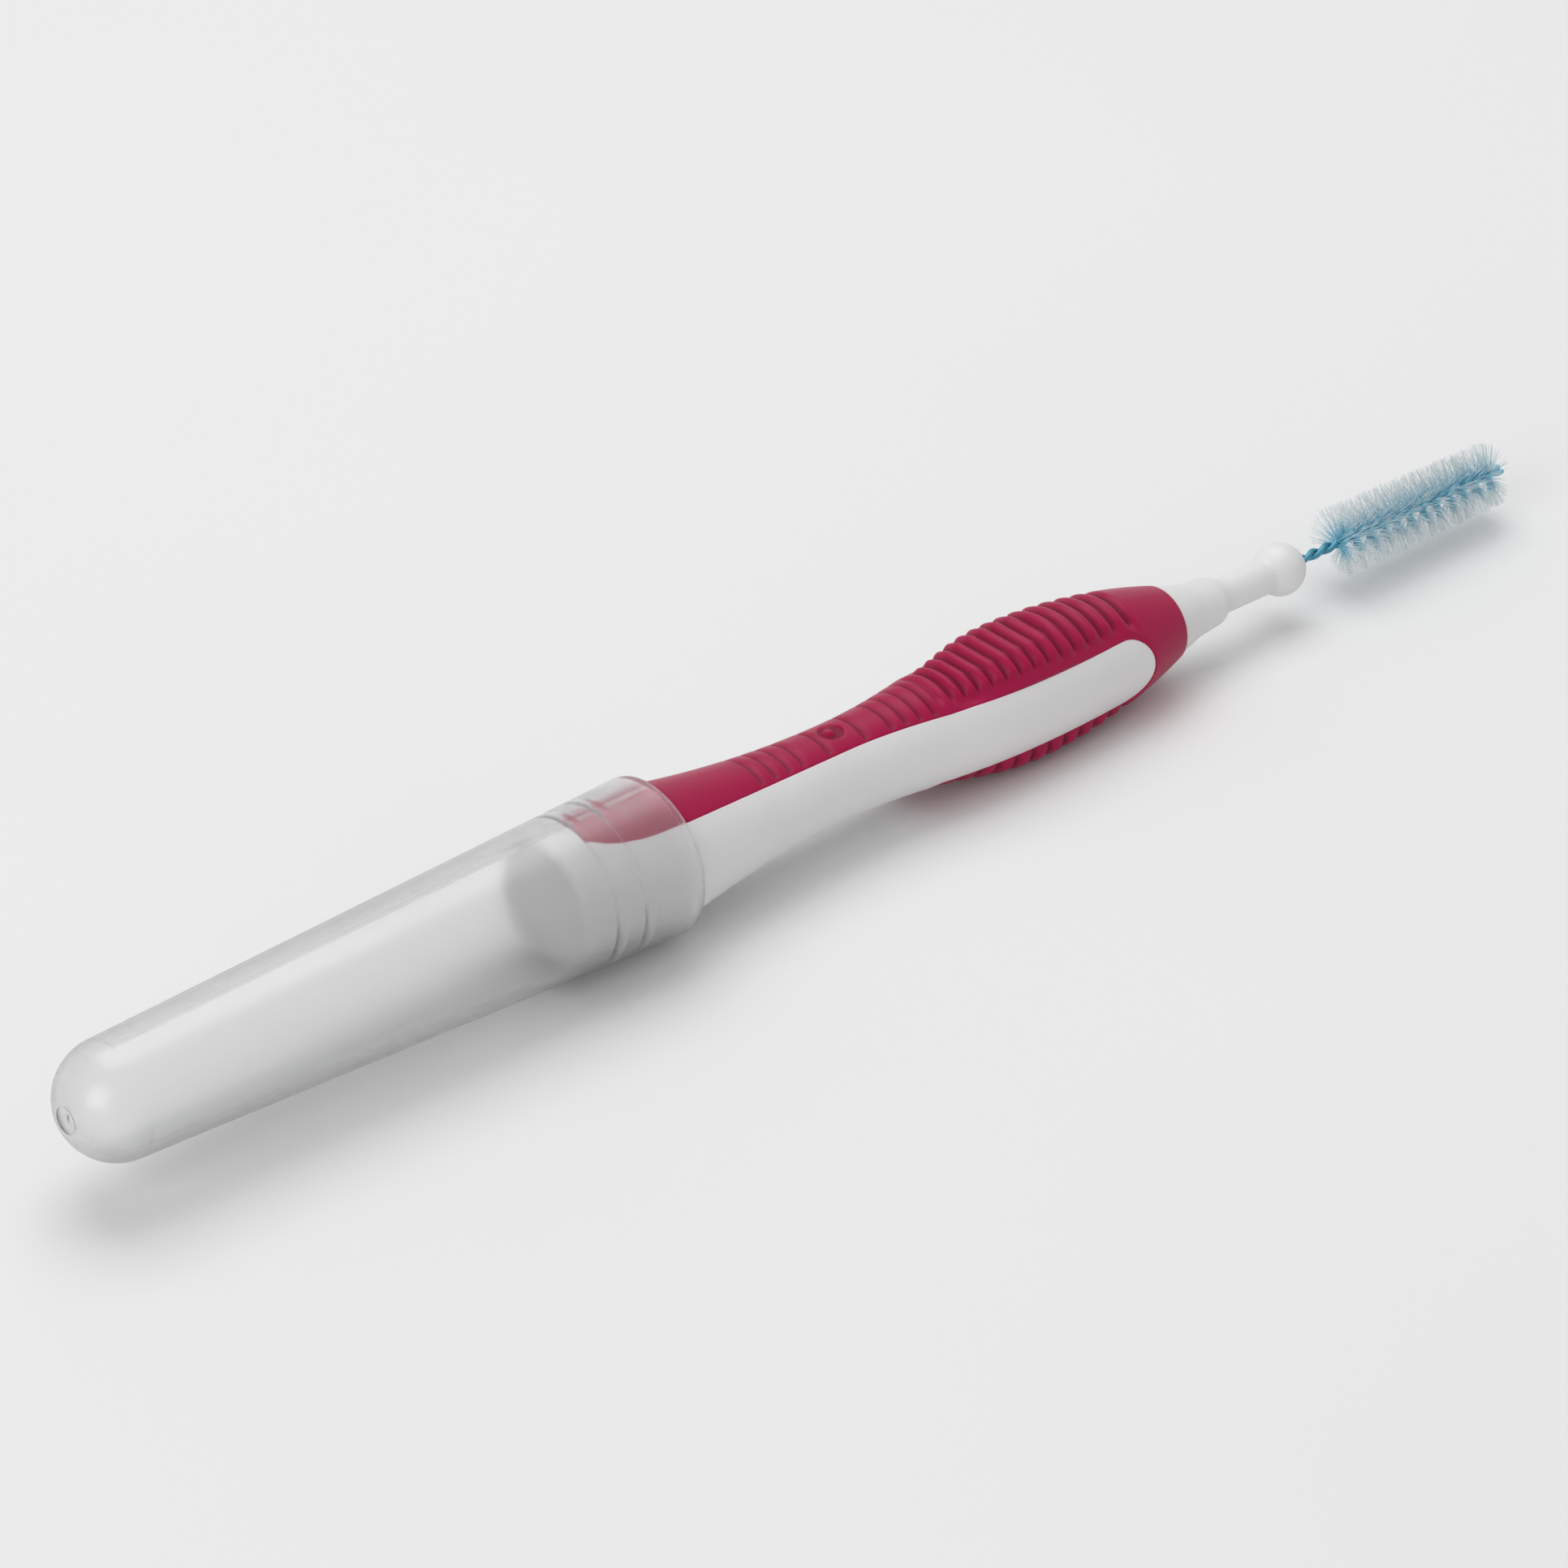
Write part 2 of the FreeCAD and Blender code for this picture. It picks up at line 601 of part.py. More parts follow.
grip_form = join("Part::Common", "grip_form", turned_body("grip_blank", draw_grip),
                 side_body("pad_flats", draw_pad_flats))
grip_shell = join("Part::Cut", "grip_shell", grip_form, grip_floor)
grip_strip = join("Part::Cut", "grip_strip", grip_shell, side_panel)
marked_grip = join("Part::Cut", "marked_grip", grip_strip, strip_marks())
soft_grip = join("Part::Fuse", "soft_grip", marked_grip, gate_nub())

brush_wire = shaped("brush_wire", twisted_wire())
bristles = shaped("bristles", bristle_field())

nodes = [travel_cap, handle_core, soft_grip, brush_wire, bristles]
for node in nodes:
    bind(node, Placement__Base__x=f"-({REAR_X} + {TIP_X}) / 2", Placement__Base__z=MOUTH_R)
doc.recompute()

for item in doc.Objects:
    if "Invalid" in item.State or "Error" in item.State:
        raise RuntimeError(f"{item.Label} could not be built: {item.State}")
for node in nodes:
    if node.Shape.isNull() or not node.Shape.isValid():
        raise RuntimeError(f"{node.Label} has no valid shape")

os.makedirs("parts", exist_ok=True)
for node in nodes:
    node.Shape.exportStep(f"parts/{node.Label}.step")
    box = node.Shape.optimalBoundingBox()
    print(f"{node.Label}: {len(node.Shape.Solids)} solids, {node.Shape.Volume:.2f} mm3, "
          f"x {box.XMin:.2f} to {box.XMax:.2f}, z {box.ZMin:.2f} to {box.ZMax:.2f}")
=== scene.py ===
# %% [markdown]
# # An interdental brush with its travel cap
# This small hand tool cleans the gaps between teeth. A white plastic handle carries a soft crimson grip,
# a twisted wire holds nylon filaments at the front, and a clear cap sits on the handle's tail while the
# brush is in use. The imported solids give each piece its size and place. This lesson gives them their
# looks, one piece and one finish at a time.

# %% Load the solids
import math

import bmesh
import bpy
import numpy as np
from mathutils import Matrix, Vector


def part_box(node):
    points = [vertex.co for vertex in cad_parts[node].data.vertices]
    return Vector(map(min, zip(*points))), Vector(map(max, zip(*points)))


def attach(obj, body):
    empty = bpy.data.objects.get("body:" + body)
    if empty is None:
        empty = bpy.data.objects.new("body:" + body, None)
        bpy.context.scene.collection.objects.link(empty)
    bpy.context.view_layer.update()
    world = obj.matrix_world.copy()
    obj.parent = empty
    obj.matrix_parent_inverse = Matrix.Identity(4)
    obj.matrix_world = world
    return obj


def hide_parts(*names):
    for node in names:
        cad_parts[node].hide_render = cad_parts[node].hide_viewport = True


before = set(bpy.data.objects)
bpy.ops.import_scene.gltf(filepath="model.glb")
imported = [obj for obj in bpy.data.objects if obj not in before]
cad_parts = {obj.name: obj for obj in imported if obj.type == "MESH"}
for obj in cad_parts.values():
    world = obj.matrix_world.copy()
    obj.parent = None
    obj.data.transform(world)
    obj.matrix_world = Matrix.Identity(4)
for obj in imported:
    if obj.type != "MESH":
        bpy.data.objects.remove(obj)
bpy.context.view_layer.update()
scene = bpy.context.scene
scene.view_settings.view_transform = "Standard"
print("solids:", ", ".join(sorted(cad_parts)))

# %% [markdown]
# ## Stations along the handle
# Everything is turned about one line, so a place on the handle is a station along X and an angle about
# that line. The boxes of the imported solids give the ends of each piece. The few lengths between them,
# such as the way from the tail to the waist, are the handle's own sizes.

# %% Measure the solids
MM = 0.001
core_low, core_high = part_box("handle_core")
grip_low, grip_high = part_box("soft_grip")
wire_low, wire_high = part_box("brush_wire")
brush_low, brush_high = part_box("bristles")
cap_low, cap_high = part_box("travel_cap")

AXIS_Z = (wire_low.z + wire_high.z) / 2
TAIL_X = core_low.x
WAIST_X = TAIL_X + 21.9 * MM
BULGE_X = WAIST_X + 13.1 * MM
NOSE_X = grip_high.x
STRIP_X = grip_low.x
SHOULDER_X = TAIL_X + 8.7 * MM
print(f"axis {AXIS_Z / MM:.2f} mm up, waist at {WAIST_X / MM:.2f}, nose at {NOSE_X / MM:.2f} mm")

# %% [markdown]
# ## A short way to write node trees
# Materials and Geometry Nodes are both trees of nodes and links. Made by hand in Blender they are dragged
# together with the mouse. In a script, a small class that wraps an output socket lets us write sums such
# as `1 - mask * 0.5` and have the Math nodes added for us. One method adds every other node.


# %% Sockets that can be added and multiplied
class Signal:
    """An output socket that takes part in Python arithmetic by adding Math nodes."""

    def __init__(self, graph, socket):
        self.graph = graph
        self.socket = socket

    def __add__(self, other):
        return self.graph.math("ADD", self, other)

    def __sub__(self, other):
        return self.graph.math("SUBTRACT", self, other)

    def __rsub__(self, other):
        return self.graph.math("SUBTRACT", other, self)

    def __mul__(self, other):
        return self.graph.math("MULTIPLY", self, other)

    def __truediv__(self, other):
        return self.graph.math("DIVIDE", self, other)

    __radd__ = __add__
    __rmul__ = __mul__


class Graph:
    """A node tree, with one method that adds a node, sets it up and links it."""

    def __init__(self, tree):
        self.tree = tree

    def node(self, kind, settings=None, sockets=None, output=0):
        made = self.tree.nodes.new(kind)
        for name, value in (settings or {}).items():
            setattr(made, name, value)
        self.fill(made, sockets or {})
        return Signal(self, made.outputs[output])

    def fill(self, made, sockets):
        """Give a node's inputs their values or links."""
        for key, value in sockets.items():
            if isinstance(value, Signal):
                self.tree.links.new(value.socket, made.inputs[key])
            else:
                made.inputs[key].default_value = value

    def math(self, operation, first, second=0.0):
        return self.node("ShaderNodeMath", {"operation": operation}, {0: first, 1: second})

    def vector(self, x, y, z):
        return self.node("ShaderNodeCombineXYZ", sockets={"X": x, "Y": y, "Z": z})

    def clamp(self, value, low, high):
        """Where the value lies between low and high, as a smooth step from 0 to 1."""
        return self.node("ShaderNodeMapRange", {"interpolation_type": "SMOOTHSTEP"},
                         {"Value": value, "From Min": low, "From Max": high})


# %% A material with its noise, mixes and bumps
class Finish(Graph):
    """A material built round one Principled shader."""

    def __init__(self, name):
        self.material = bpy.data.materials.new(name)
        self.material.use_nodes = True
        super().__init__(self.material.node_tree)
        self.shader = next(node for node in self.tree.nodes if node.type == "BSDF_PRINCIPLED")

    def noise(self, size, detail=2.0, stretch=1.0):
        """Noise with features of the given size, drawn out along the object by the given factor."""
        place = self.node("ShaderNodeTexCoord", output="Object")
        scaled = self.node("ShaderNodeMapping",
                           sockets={"Vector": place, "Scale": (1 / (size * stretch), 1 / size, 1 / size)})
        return self.node("ShaderNodeTexNoise", sockets={"Vector": scaled, "Scale": 1.0, "Detail": detail})

    def along(self):
        """Place along the object, in metres."""
        place = self.node("ShaderNodeTexCoord", output="Object")
        return self.node("ShaderNodeSeparateXYZ", sockets={0: place}, output="X")

    def mix(self, factor, first, second):
        """Colour between two others."""
        sockets = {0: factor, 6: first, 7: second}
        return self.node("ShaderNodeMix", {"data_type": "RGBA"}, sockets, output=2)

    def bump(self, height, depth):
        return self.node("ShaderNodeBump", sockets={"Height": height, "Distance": depth}, output="Normal")

    def attribute(self, name):
        return self.node("ShaderNodeAttribute", {"attribute_name": name}, output="Fac")

    def shade(self, sockets):
        self.fill(self.shader, sockets)
        print(f"finish {self.material.name}: {len(self.tree.nodes)} nodes")
        return self.material


def colour(red, green, blue):
    return (red, green, blue, 1.0)


# %% [markdown]
# ## White handle
# The core is moulded polypropylene: white, satin and a little waxy, because light goes into it for about
# a millimetre. The solid already has the right shape, so it stays and only gets a finish. Long soft
# streaks in the roughness follow the flow of the plastic, and a very fine grain stops the highlight from
# looking wet.


# %% White plastic
def white_plastic():
    finish = Finish("white_plastic")
    cloud = finish.noise(5 * MM)
    flow = finish.noise(0.8 * MM, detail=3.0, stretch=9.0)
    grain = finish.noise(0.07 * MM)
    return finish.shade({
        "Base Color": finish.mix(cloud, colour(0.72, 0.705, 0.715), colour(0.79, 0.78, 0.785)),
        "Roughness": 0.30 + flow * 0.22,
        "Normal": finish.bump(grain + flow, 0.004 * MM),
        "Subsurface Weight": 0.15,
        "Subsurface Radius": (1.0, 0.95, 0.9),
        "Subsurface Scale": 0.8 * MM,
        "IOR": 1.49,
    })


def dress(node, material):
    """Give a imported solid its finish."""
    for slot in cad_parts[node].material_slots:
        slot.material = material


dress("handle_core", white_plastic())

# %% [markdown]
# ## Soft grip
# The grip is a second shot of soft crimson plastic: a strip along the top, a ring round the nose and a
# pad below, all in one piece. On the real handle the ribs are deepest under the thumb and run out before
# they reach the white panel, and the grip swells above the panel with a rounded shoulder. Turning a
# profile can't fade a rib, so the skin is a grid of points instead: one row for each station, one column
# for each step from the middle of the strip to its edge, and a radius worked out for every point.

# %% Outer line of the handle
WAIST_R = 2.8 * MM
WAIST_ARC = 45 * MM
SHOULDER_R = 4.02 * MM
TAIL_TAPER = 0.0333
PANEL_BULGE_R = 3.66 * MM
PANEL_ARC = 85 * MM
PANEL_END_X = NOSE_X - 1.75 * MM
NECK_R = 2.2 * MM
GRIP_BULGE_R = 4.2 * MM
GRIP_NOSE_R = 2.3 * MM


def level_arc(run, fall):
    """Radius of an arc that is level at one end and falls by the given height over the given run."""
    return (run ** 2 + fall ** 2) / (2 * fall)


def arch(x, middle, radius):
    """How far an arc has come away from its level point at the middle."""
    return radius - np.sqrt(np.maximum(radius ** 2 - (x - middle) ** 2, 0))


def handle_line(x, bulge_r, ahead):
    """Radius at stations x: tail's cone, hollow waist, rise to the bulge, then the line ahead of it."""
    turn = 2 * math.atan((bulge_r - WAIST_R) / (BULGE_X - WAIST_X))
    meeting_x = WAIST_X + WAIST_ARC * math.sin(turn)
    rear_arc = level_arc(WAIST_X - SHOULDER_X, SHOULDER_R - WAIST_R)
    rise_arc = (BULGE_X - WAIST_X) / math.sin(turn) - WAIST_ARC
    stretches = [x < SHOULDER_X, x < WAIST_X, x < meeting_x, x < BULGE_X]
    radii = [SHOULDER_R - (SHOULDER_X - x) * TAIL_TAPER,
             WAIST_R + arch(x, WAIST_X, rear_arc),
             WAIST_R + arch(x, WAIST_X, WAIST_ARC),
             bulge_r - arch(x, BULGE_X, rise_arc)]
    return np.select(stretches, radii, ahead)


def grip_line(x):
    """Radius over the backs of the ribs and at the nose ring."""
    nose_arc = level_arc(NOSE_X - BULGE_X, GRIP_BULGE_R - GRIP_NOSE_R)
    return handle_line(x, GRIP_BULGE_R, GRIP_BULGE_R - arch(x, BULGE_X, nose_arc))


def panel_line(x):
    """Radius of the white core, with the straight stretch that the nose ring hides."""
    end_r = PANEL_BULGE_R - arch(PANEL_END_X, BULGE_X, PANEL_ARC)
    hidden = NECK_R + (end_r - NECK_R) * (NOSE_X - x) / (NOSE_X - PANEL_END_X)
    return handle_line(x, PANEL_BULGE_R, np.minimum(PANEL_BULGE_R - arch(x, BULGE_X, PANEL_ARC), hidden))


bulge_step = grip_line(np.array([BULGE_X])) - panel_line(np.array([BULGE_X]))
print(f"the grip stands {bulge_step[0] / MM:.2f} mm proud of the panel at the bulge")

# %% [markdown]
# The white panel shows through a long window in the grip. Seen from the side, the window's edge falls
# from the strip's rear tip to the waist, runs level along the bulge and ends in a half circle behind the
# nose. The lower pad starts with rounded corners a little behind the ribs.

# %% Edge of the white panel
PANEL_FRONT_R = 2.05 * MM
WINDOW_END_X = NOSE_X - 3.5 * MM
PANEL_FRONT_X = WINDOW_END_X - PANEL_FRONT_R
STRIP_TIP_HEIGHT = 3.6 * MM
STRIP_TAPER_X = STRIP_X + 4.4 * MM
STRIP_REAR_HEIGHT = 3.05 * MM
STRIP_WAIST_HEIGHT = 2.25 * MM
PAD_X = BULGE_X - 8.1 * MM
PAD_ROUND = 1.0 * MM


def half_circle(x):
    """Height of the window's front end."""
    return np.sqrt(np.maximum(PANEL_FRONT_R ** 2 - (x - PANEL_FRONT_X) ** 2, 0))


def strip_edge(x):
    """Height of the strip's edge above the axis."""
    taper_arc = level_arc(STRIP_TAPER_X - STRIP_X, STRIP_TIP_HEIGHT - STRIP_REAR_HEIGHT)
    waist_arc = level_arc(WAIST_X - SHOULDER_X, STRIP_REAR_HEIGHT - STRIP_WAIST_HEIGHT)
    stretches = [x < STRIP_TAPER_X, x < SHOULDER_X, x < WAIST_X, x < PANEL_FRONT_X]
    heights = [STRIP_REAR_HEIGHT + arch(x, STRIP_TAPER_X, taper_arc),
               np.full_like(x, STRIP_REAR_HEIGHT),
               STRIP_WAIST_HEIGHT + arch(x, WAIST_X, waist_arc),
               np.interp(x, [WAIST_X, PANEL_FRONT_X], [STRIP_WAIST_HEIGHT, PANEL_FRONT_R])]
    return np.select(stretches, heights, half_circle(x))


def pad_edge(x):
    """Depth of the lower pad's edge below the axis, with a rounded corner at its rear end."""
    corner = arch(np.minimum(x, PAD_X + PAD_ROUND), PAD_X + PAD_ROUND, PAD_ROUND)
    return np.where(x < PANEL_FRONT_X, PANEL_FRONT_R + corner, half_circle(x))


print(f"window ends at {WINDOW_END_X / MM:.2f} mm, lower pad starts at {PAD_X / MM:.2f} mm")

# %% [markdown]
# Next come the marks in the skin: ribs with round backs and sharp valleys over the bulge, fine grooves in
# two groups on the strip, a round dimple with a nub where the plastic was shot into the mould, and the
# thumb's leaf-shaped flat. Each of them is a small height that is added to the smooth line.

# %% Ribs, grooves and the gate's mark
RIB_COUNT = 14
RIB_PITCH = 0.845 * MM
RIB_GROWTH = 0.027 * MM
RIB_DEPTH = 0.36 * MM
RIB_FULLNESS = 1.8
MARGIN_RUN = 2.0 * MM
PAD_RIB_PITCH = 1.25 * MM
GROOVE_DEPTH = 0.2 * MM
GROOVE_WALL, GROOVE_RAMP = 0.07 * MM, 0.7 * MM
GATE_X = WAIST_X - 0.5 * MM
GATE_PANEL = 2.7 * MM
GATE_R = 0.85 * MM
GATE_DEPTH = 0.16 * MM
GATE_EDGE = 0.16 * MM
NUB_R = 0.42 * MM
NUB_HEIGHT = 0.26 * MM
NUB_SETBACK = 0.18 * MM
NUB_STEEPNESS = 1.2

FIRST_VALLEY_X = BULGE_X - 6.75 * MM
order = np.arange(RIB_COUNT + 1)
VALLEYS = FIRST_VALLEY_X + order * RIB_PITCH + order * (order - 1) / 2 * RIB_GROWTH
PAD_VALLEYS = np.arange(FIRST_VALLEY_X - 0.2 * MM, VALLEYS[-1], PAD_RIB_PITCH)
REAR_GROOVES = WAIST_X - 7.1 * MM + np.arange(4) * 1.08 * MM
FRONT_GROOVES = WAIST_X + 2.7 * MM + np.arange(4) * 0.95 * MM
PANEL_GROOVES = GATE_X + np.array([-0.5, 0.5]) * GATE_PANEL
GROOVES = np.concatenate([REAR_GROOVES, PANEL_GROOVES, FRONT_GROOVES])


def smooth(value):
    """Smooth step from 0 to 1."""
    value = np.clip(value, 0, 1)
    return value * value * (3 - 2 * value)


def rib_depth(x, valleys):
    """Depth below the backs of the ribs. The first valley is a shallow one."""
    rib = np.clip(np.searchsorted(valleys, x) - 1, 0, len(valleys) - 2)
    place = (x - valleys[rib]) / (valleys[rib + 1] - valleys[rib])
    beyond = np.maximum(-place, place - 1)
    fall = np.where(beyond > 0, 1 - 2 * beyond, np.abs(2 * place - 1))
    lead = np.interp(x, valleys[:2], [0.5, 1.0])
    return RIB_DEPTH * lead * np.clip(fall, 0, 1) ** RIB_FULLNESS


def margin_depth(x):
    """Depth of the smooth margin at which the ribs end: that of the valleys, run out at both ends."""
    rise = smooth((x - VALLEYS[0]) / MARGIN_RUN)
    fall = smooth((VALLEYS[-1] - x) / MARGIN_RUN)
    return RIB_DEPTH * rise * fall


def groove_depth(x):
    """Depth of the fine grooves: a steep rear wall and a long hollow ramp in front of it."""
    past = x[..., None] - GROOVES
    wall = np.clip(1 + past / GROOVE_WALL, 0, 1)
    ramp = np.clip(1 - past / GROOVE_RAMP, 0, 1) ** 2
    return GROOVE_DEPTH * np.where(past < 0, wall, ramp).max(axis=-1)


def gate_mark(x, y):
    """Dimple of the mould's gate, with its nub."""
    away = np.hypot(x - GATE_X, y)
    nub_away = np.hypot(x - GATE_X + NUB_SETBACK, y)
    nub = NUB_HEIGHT * smooth(NUB_STEEPNESS * (1 - (nub_away / NUB_R) ** 2))
    return nub - GATE_DEPTH * smooth((GATE_R - away) / GATE_EDGE)


print(f"{RIB_COUNT} ribs from {VALLEYS[0] / MM:.2f} to {VALLEYS[-1] / MM:.2f} mm, {len(GROOVES)} grooves")

# %% [markdown]
# The radius of the skin puts these together. A soft minimum cuts the flats, so that their rims stay a
# little round. The distance from the white panel then does two things: it lets the ribs run out, and it
# brings the skin down to the panel over a rounded shoulder.

# %% Radius of the skin
FLAT_START_X, FLAT_END_X = BULGE_X - 5.7 * MM, BULGE_X + 2.7 * MM
FLAT_LEAD, FLAT_RUNOUT = 3.2 * MM, 1.6 * MM
THUMB_FLAT_DEPTH = 0.25 * MM
PAD_FLAT_DEPTH = 0.28 * MM
PAD_FLAT_ARC = 90 * MM
FLAT_RIM = 0.03 * MM
FLAT_TURN = 1.2
RIB_MARGIN = 0.35 * MM
RIB_FADE = 0.5 * MM
GROOVE_FADE = 0.25 * MM
SHOULDER_RUN = 0.5 * MM
EDGE_ROUND = 0.06 * MM
EDGE_RUN = 0.12 * MM
NOSE_LIP = 0.15 * MM


def soft_minimum(first, second, rim):
    share = np.clip(0.5 + (second - first) / (2 * rim), 0, 1)
    return second * (1 - share) + first * share - rim * share * (1 - share)


def panel_distance(x, height, edge):
    """Distance from the window's edge, in the side view."""
    ahead = np.hypot(np.maximum(x - PANEL_FRONT_X, 0), height) - PANEL_FRONT_R
    return np.where(x < PANEL_FRONT_X, height - edge, ahead)


def thumb_flat(x):
    """How deep the thumb's flat cuts in: it starts slowly behind the bulge and ends quickly in front."""
    rise = smooth((x - FLAT_START_X) / FLAT_LEAD)
    fall = smooth((FLAT_END_X - x) / FLAT_RUNOUT)
    return THUMB_FLAT_DEPTH * rise * fall


def skin_radius(x, angle, edge, upper):
    """Radius of the grip's skin at stations x and angles from the middle of its strip or pad, and how much
    of a back each point is: 1 on the backs, 0 in the valleys."""
    panel, line = panel_line(x), grip_line(x)
    away = panel_distance(x, panel * np.cos(angle), edge)
    if upper:
        flat = line - thumb_flat(x)
        share = smooth((away - RIB_MARGIN) / RIB_FADE)
        ribs = rib_depth(x, VALLEYS) * share + margin_depth(x) * (1 - share)
        grooves = groove_depth(x) * smooth(away / GROOVE_FADE)
        marks = gate_mark(x, line * np.sin(angle)) - grooves
    else:
        flat = GRIP_BULGE_R - PAD_FLAT_DEPTH - arch(x, BULGE_X, PAD_FLAT_ARC)
        share = smooth(away / EDGE_RUN)
        ribs = rib_depth(x, PAD_VALLEYS)
        marks = np.zeros_like(x)
    flat_radius = flat / np.cos(np.minimum(angle, FLAT_TURN))
    full = soft_minimum(line, flat_radius, FLAT_RIM) - ribs + marks
    lip = arch(np.maximum(x, NOSE_X - NOSE_LIP), NOSE_X - NOSE_LIP, NOSE_LIP)
    shoulder = smooth(away / SHOULDER_RUN) ** 0.5
    radius = panel + (full - panel) * shoulder - EDGE_ROUND * (1 - smooth(away / EDGE_RUN)) - lip
    return radius, 1 - ribs * share / RIB_DEPTH + np.minimum(marks, 0) / GROOVE_DEPTH


# %% [markdown]
# The grid has its rows close together at the ribs and grooves, and its columns close together near the
# edge. The upper and the lower half share the rows of the nose ring and are joined there. A second grid
# under the skin and walls along the edge make a closed shell that fills the recess in the white core.

# %% Rows of the grid
FINE, COARSE = 0.06 * MM, 0.25 * MM
SKIN_DEPTH = 0.62 * MM
NOSE_UNDER_R = 1.78 * MM
COLUMNS = 48
TIP_COSINE = 0.9995


def run(start, end, step):
    """Evenly spaced stations from start up to, but not including, the end."""
    return np.linspace(start, end, max(round((end - start) / step), 1), endpoint=False)


strip_rows = run(STRIP_X, REAR_GROOVES[0] - COARSE, COARSE)
mark_rows = run(REAR_GROOVES[0] - COARSE, PANEL_FRONT_X, FINE)
window_rows = PANEL_FRONT_X + PANEL_FRONT_R * np.sin(run(0, math.pi / 2, math.pi / 90))
ring_rows = np.concatenate([run(WINDOW_END_X, NOSE_X - NOSE_LIP, 1.5 * FINE),
                            NOSE_X - NOSE_LIP + NOSE_LIP * np.sin(np.linspace(0, math.pi / 2, 7))])
upper_rows = np.concatenate([strip_rows, mark_rows, window_rows, ring_rows])
lower_rows = np.concatenate([run(PAD_X, PANEL_FRONT_X, FINE), window_rows, ring_rows])
print(f"{len(upper_rows)} rows above, {len(lower_rows)} below, {COLUMNS} columns")


# %% Build the grip
def half_skin(rows, upper):
    """Points of one half of the skin and of its underside, and how much of a back each one is."""
    steps = np.linspace(-1, 1, COLUMNS + 1)
    steps = 1.5 * steps - 0.5 * steps ** 3
    edge = strip_edge(rows) if upper else pad_edge(rows)
    panel = panel_line(rows)
    widest = np.arccos(np.minimum(edge / panel, TIP_COSINE))
    x = np.repeat(rows[:, None], COLUMNS + 1, axis=1)
    angle = widest[:, None] * steps
    radius, crest = skin_radius(x, np.abs(angle), edge[:, None], upper)
    depth = np.maximum(panel - SKIN_DEPTH, NOSE_UNDER_R)
    under = np.repeat(depth[:, None], COLUMNS + 1, axis=1)
    side = 1 if upper else -1
    shells = []
    for distance in (radius, under):
        height = AXIS_Z + side * distance * np.cos(angle)
        shells.append(np.stack([x, distance * np.sin(angle), height], axis=-1))
    return shells[0], shells[1], crest


def grid_faces(first, rows, columns):
    """Quads of a grid whose points are numbered row by row."""
    numbers = first + np.arange(rows * columns).reshape(rows, columns)
    corners = [numbers[:-1, :-1], numbers[:-1, 1:], numbers[1:, 1:], numbers[1:, :-1]]
    return np.stack(corners, axis=-1).reshape(-1, 4)


def wall_faces(outer, inner):
    """Quads between two rows of point numbers."""
    return np.stack([outer[:-1], outer[1:], inner[1:], inner[:-1]], axis=-1)


def shell_faces(first, rows, columns, ring_start):
    """Faces of one half: skin, underside, walls along the window's edge, and both ends."""
    outer = first + np.arange(rows * columns).reshape(rows, columns)
    inner = outer + rows * columns
    window = slice(ring_start + 1)
    sides = [wall_faces(outer[window, column], inner[window, column]) for column in (0, -1)]
    ends = [wall_faces(outer[row], inner[row]) for row in (0, -1)]
    grids = [grid_faces(first, rows, columns), grid_faces(first + rows * columns, rows, columns)]
    return np.concatenate(grids + sides + ends)


def soft_grip_mesh():
    points, faces, crests, first = [], [], [], 0
    for rows, upper in ((upper_rows, True), (lower_rows, False)):
        skin, under, crest = half_skin(rows, upper)
        ring_start = len(rows) - len(ring_rows)
        faces.append(shell_faces(first, len(rows), COLUMNS + 1, ring_start))
        points += [skin.reshape(-1, 3), under.reshape(-1, 3)]
        crests += [crest.ravel(), np.zeros(crest.size)]
        first += 2 * crest.size
    mesh = bpy.data.meshes.new("soft_grip_skin")
    mesh.from_pydata(np.concatenate(points).tolist(), [], np.concatenate(faces).tolist())
    # the crest attribute later steers the grip's painted shade in the valleys and painted sheen on the
    # backs
    crest_layer = mesh.attributes.new("crest", "FLOAT", "POINT")
    crest_layer.data.foreach_set("value", np.concatenate(crests).astype(np.float32))
    return mesh


def close_and_smooth(mesh, apart=0.0005 * MM):
    """Join points that are hardly apart, point the faces outwards and shade them smooth."""
    work = bmesh.new()
    work.from_mesh(mesh)
    bmesh.ops.remove_doubles(work, verts=work.verts, dist=apart)
    bmesh.ops.recalc_face_normals(work, faces=work.faces)
    work.to_mesh(mesh)
    open_edges = sum(not edge.is_manifold for edge in work.edges)
    work.free()
    mesh.shade_smooth()
    print(f"{mesh.name}: {len(mesh.polygons)} faces, {open_edges} open edges")


def add_piece(name, mesh, material):
    """Put a mesh into the scene as a piece of the object."""
    piece = bpy.data.objects.new(name, mesh)
    mesh.materials.clear()
    mesh.materials.append(material)
    scene.collection.objects.link(piece)
    return piece


# %% [markdown]
# The crimson plastic is soft to the touch, with a broad dull shine. Its colour is painted darker in the
# valleys, the grooves and the gate's dimple, as painted shade, and paler on the backs of the ribs, as a
# painted sheen. The height that the grid stored at each point steers this colour and the roughness.


